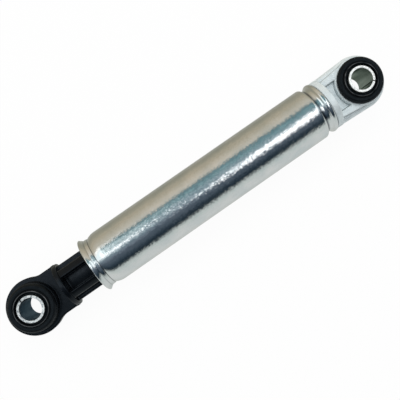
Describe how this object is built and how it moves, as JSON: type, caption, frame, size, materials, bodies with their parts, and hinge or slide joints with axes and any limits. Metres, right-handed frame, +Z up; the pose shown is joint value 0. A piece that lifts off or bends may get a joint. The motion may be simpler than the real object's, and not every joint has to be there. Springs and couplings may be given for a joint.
{
  "type": "washing machine shock absorber",
  "caption": "Telescopic friction damper for a washing machine tub: steel cylinder with a die-cast eye, black plastic plunger with a ribbed shaft, rubber-bushed sleeves in both eyes.",
  "frame": {"origin": "centre of the fixed (die-cast) eye's bore, half way along the bore", "axes": "+X along the damper from the fixed eye to the rod eye, +Z up along the eye bores, the damper lying on its side"},
  "size_m": [0.2684, 0.0348, 0.0348],
  "materials": {
    "zinc_steel": "zinc plated and passivated, satin",
    "cast_alloy": "as die cast, fine blasted",
    "black_rubber": "moulded, matte",
    "sleeve_steel": "zinc plated, cut rims bright",
    "guide_plastic": "moulded, matte",
    "plunger_plastic": "moulded, satin",
    "lining_foam": "greased foam strip"
  },
  "bodies": {
    "housing": {"cylinder_tube": "zinc_steel", "end_eye": "cast_alloy", "end_eye_bush": "black_rubber", "guide_upper_half": "guide_plastic", "guide_lower_half": "guide_plastic"},
    "lining": {"friction_lining": "lining_foam"},
    "plunger": {"plunger": "plunger_plastic", "rod_eye_bush": "black_rubber"},
    "end_sleeve": {"end_eye_sleeve": "sleeve_steel"},
    "rod_sleeve": {"rod_eye_sleeve": "sleeve_steel"}
  },
  "joints": [
    {"name": "plunger_slide", "type": "slide", "parent": "housing", "child": "lining", "axis": [1, 0, 0], "range_m": [-0.0217, 0.0607]},
    {"name": "plunger_turn", "type": "hinge", "parent": "lining", "child": "plunger", "pos_m": [0.0952, 0, 0], "axis": [1, 0, 0], "continuous": true},
    {"name": "end_sleeve_twist", "type": "hinge", "parent": "housing", "child": "end_sleeve", "pos_m": [0, 0, 0], "axis": [0, 0, 1], "range_deg": [-15, 15], "stiffness_Nm_per_rad": 3},
    {"name": "rod_sleeve_twist", "type": "hinge", "parent": "plunger", "child": "rod_sleeve", "pos_m": [0.2345, 0, 0], "axis": [0, 0, 1], "range_deg": [-15, 15], "stiffness_Nm_per_rad": 3}
  ]
}
